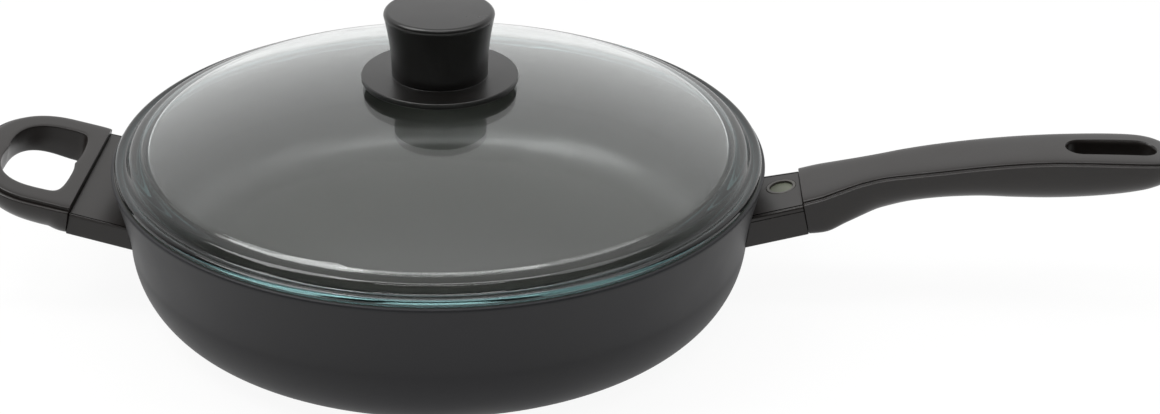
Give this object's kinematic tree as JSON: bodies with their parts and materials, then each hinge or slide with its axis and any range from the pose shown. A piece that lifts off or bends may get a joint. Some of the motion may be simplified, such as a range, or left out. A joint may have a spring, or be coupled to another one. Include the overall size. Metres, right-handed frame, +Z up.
{
  "type": "braising pan",
  "caption": "Cast aluminium braising pan with rounded wall, long handle with hanging slot, loop side handle and a domed glass lid with knob.",
  "frame": {"origin": "centre of the flat base's underside", "axes": "+X runs out along the long handle, -X along the loop handle, +Z is up through the lid's knob"},
  "size_m": [0.5176, 0.28, 0.1277],
  "materials": {
    "coated_aluminium": "matt charcoal non-stick coating on cast aluminium",
    "bare_aluminium": "bare extruded and bent aluminium, hidden in use",
    "handle_lacquer": "moulded phenolic with a satin dark grey lacquer",
    "indicator_ring": "moulded ring, lighter grey",
    "indicator_disc": "heat sensitive disc, grey green when cold",
    "lid_glass": "clear pressed and tempered glass with a green edge",
    "knob_phenolic": "moulded phenolic, near black, semi gloss",
    "insert_brass": "moulded-in threaded brass insert",
    "seal_rubber": "heat resistant silicone rubber",
    "fastener_steel": "stainless steel fasteners"
  },
  "bodies": {
    "pan": {"pan_body": "coated_aluminium", "long_handle_tang": "bare_aluminium", "long_handle_guard": "handle_lacquer", "heat_indicator_ring": "indicator_ring", "heat_indicator_disc": "indicator_disc", "long_handle_grip": "handle_lacquer", "long_handle_screw": "fastener_steel", "long_handle_washer": "fastener_steel", "side_handle_tang": "bare_aluminium", "side_handle_guard": "handle_lacquer", "side_handle_grip": "handle_lacquer", "side_handle_screws": "fastener_steel", "side_handle_washers": "fastener_steel"},
    "lid": {"lid_glass": "lid_glass", "lid_knob": "knob_phenolic", "knob_insert": "insert_brass", "knob_seal": "seal_rubber", "lid_seal": "seal_rubber", "lid_washer": "fastener_steel", "lid_lock_washer": "fastener_steel", "lid_screw": "fastener_steel"}
  },
  "joints": [
    {"name": "lid_lift", "type": "slide", "parent": "pan", "child": "lid", "axis": [0, 0, 1], "range_m": [0, 0.12]}
  ]
}
